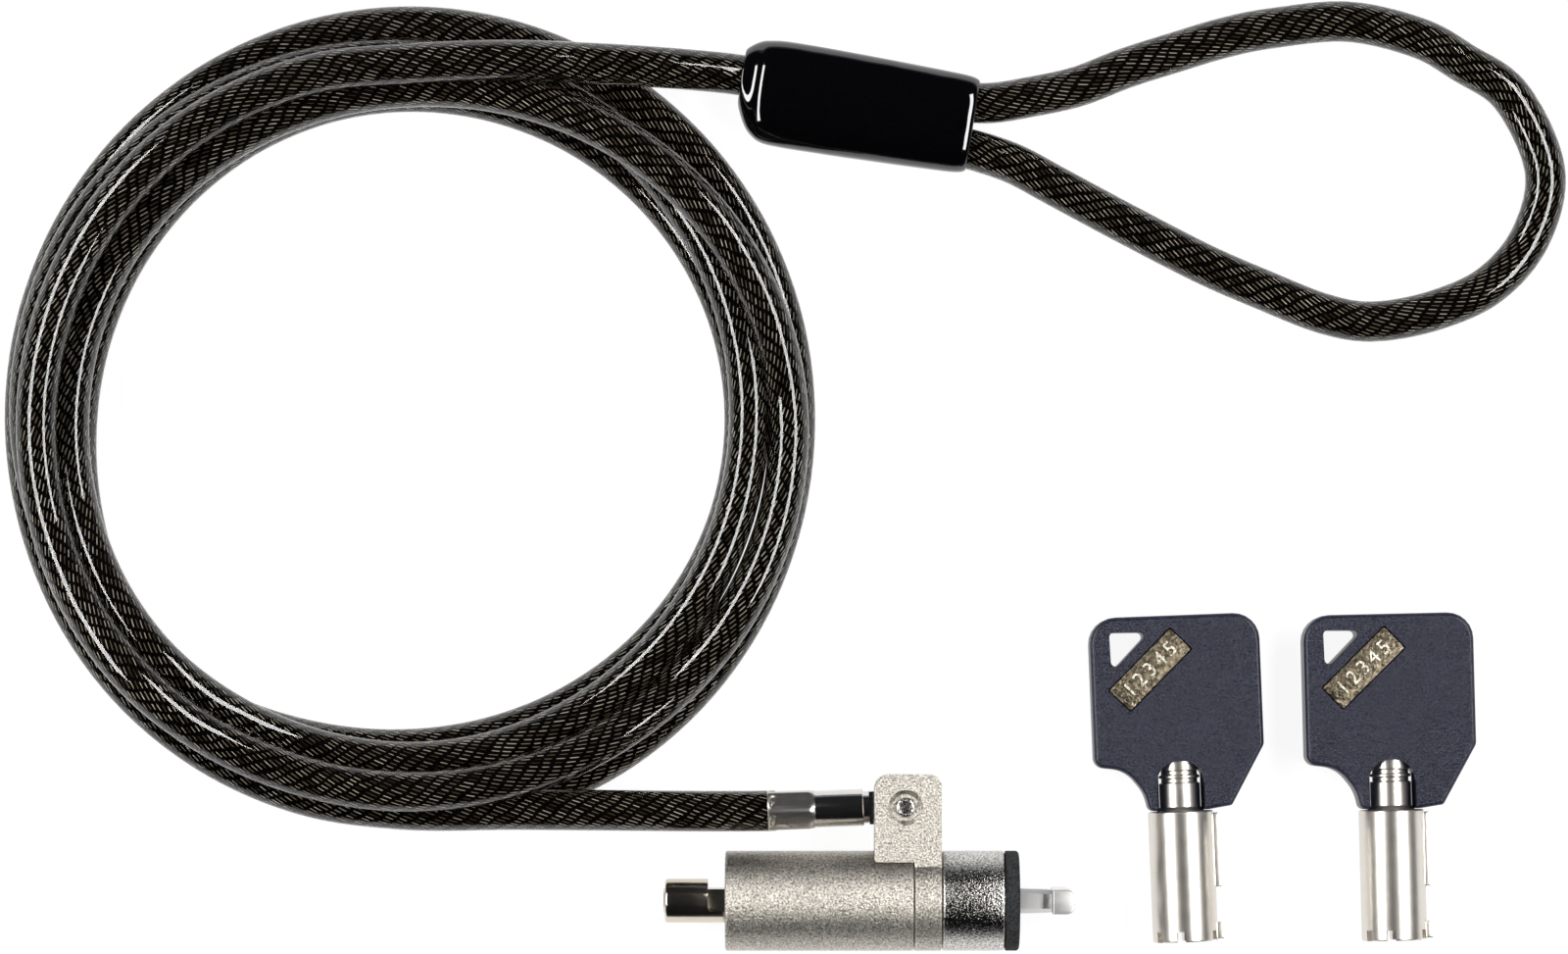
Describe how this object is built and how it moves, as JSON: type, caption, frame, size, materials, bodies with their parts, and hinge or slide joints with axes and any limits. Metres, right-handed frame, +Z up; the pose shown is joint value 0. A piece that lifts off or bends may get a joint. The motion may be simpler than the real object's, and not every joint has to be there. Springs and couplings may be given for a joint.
{
  "type": "laptop cable lock",
  "caption": "Push-to-lock cable lock for a laptop's security slot: lock head on a swivel collar, coiled steel cable with an end loop, and tubular keys.",
  "frame": {"origin": "on the surface the pieces lie on, at the centre of the box around the lock head and the two keys", "axes": "+X along the lock head's axis from the key end to the T-bar, +Y towards the end loop, +Z up"},
  "size_m": [0.1924, 0.1163, 0.0122],
  "materials": {
    "satin_nickel": "sand-blasted satin nickel plating on zinc",
    "black_rubber": "fine-grained matt rubber",
    "polished_chrome": "polished nickel-chrome plating",
    "spring_steel": "drawn steel",
    "brass": "turned brass",
    "smoke_jacket": "clear smoke vinyl over stranded steel wire",
    "black_vinyl": "glossy black dipped vinyl",
    "key_plastic": "dark blue-grey moulded plastic with a fine texture",
    "tag_metal": "tumbled metal with embossed digits"
  },
  "bodies": {
    "cable": {"cable_ferrule": "polished_chrome", "cable_lead": "smoke_jacket", "cable_coil": "smoke_jacket", "cable_tail": "smoke_jacket", "cable_loop": "smoke_jacket", "loop_sleeve": "black_vinyl", "loop_crimp": "spring_steel"},
    "collar": {"swivel_collar": "satin_nickel", "cable_rivet": "satin_nickel"},
    "head": {"lock_barrel": "satin_nickel", "front_cap": "satin_nickel", "rubber_pad": "black_rubber", "t_bar": "polished_chrome", "t_bar_pin": "spring_steel", "cap_pin": "spring_steel", "return_spring": "spring_steel"},
    "bolt": {"bolt_carriage": "brass", "locking_pin_left": "polished_chrome", "locking_pin_right": "polished_chrome", "latch_spring": "spring_steel", "driver_pin_1": "spring_steel", "driver_pin_2": "spring_steel", "driver_pin_3": "spring_steel", "driver_pin_4": "spring_steel", "driver_pin_5": "spring_steel", "driver_pin_6": "spring_steel", "driver_pin_7": "spring_steel"},
    "plug": {"lock_plug": "polished_chrome", "tumbler_ring": "brass", "key_pin_1": "polished_chrome", "key_pin_2": "polished_chrome", "key_pin_3": "polished_chrome", "key_pin_4": "polished_chrome", "key_pin_5": "polished_chrome", "key_pin_6": "polished_chrome", "key_pin_7": "polished_chrome"},
    "latch": {"latch_pin": "spring_steel"},
    "key_1": {"key_1_bow": "key_plastic", "key_1_tube": "polished_chrome", "key_1_tag": "tag_metal"},
    "key_2": {"key_2_bow": "key_plastic", "key_2_tube": "polished_chrome", "key_2_tag": "tag_metal"}
  },
  "joints": [
    {"name": "collar_swing", "type": "hinge", "parent": "cable", "child": "collar", "pos_m": [-0.02016, -0.00298, 0.0061], "axis": [0, 0, 1], "range_deg": [-5, 120]},
    {"name": "head_spin", "type": "hinge", "parent": "collar", "child": "head", "pos_m": [-0.01741, -0.01456, 0.0061], "axis": [1, 0, 0], "continuous": true},
    {"name": "plug_push", "type": "slide", "parent": "head", "child": "bolt", "axis": [1, 0, 0], "range_m": [0, 0.005], "stiffness_N_per_m": 300, "springref_m": -0.005, "deforming": ["return_spring"]},
    {"name": "plug_turn", "type": "hinge", "parent": "bolt", "child": "plug", "pos_m": [-0.04216, -0.01456, 0.0061], "axis": [1, 0, 0], "range_deg": [0, 90]},
    {"name": "latch_retract", "type": "slide", "parent": "bolt", "child": "latch", "axis": [0, 0, 1], "range_m": [0, 0.0007], "deforming": ["latch_spring"]},
    {"name": "key_1_lift", "type": "slide", "parent": "cable", "child": "key_1", "axis": [0, 0, 1], "range_m": [0, 0.05]},
    {"name": "key_2_lift", "type": "slide", "parent": "cable", "child": "key_2", "axis": [0, 0, 1], "range_m": [0, 0.05]}
  ],
  "couplings": [
    {"joint": "latch_retract", "follows": "plug_turn", "m_per_rad": 0.000445}
  ]
}
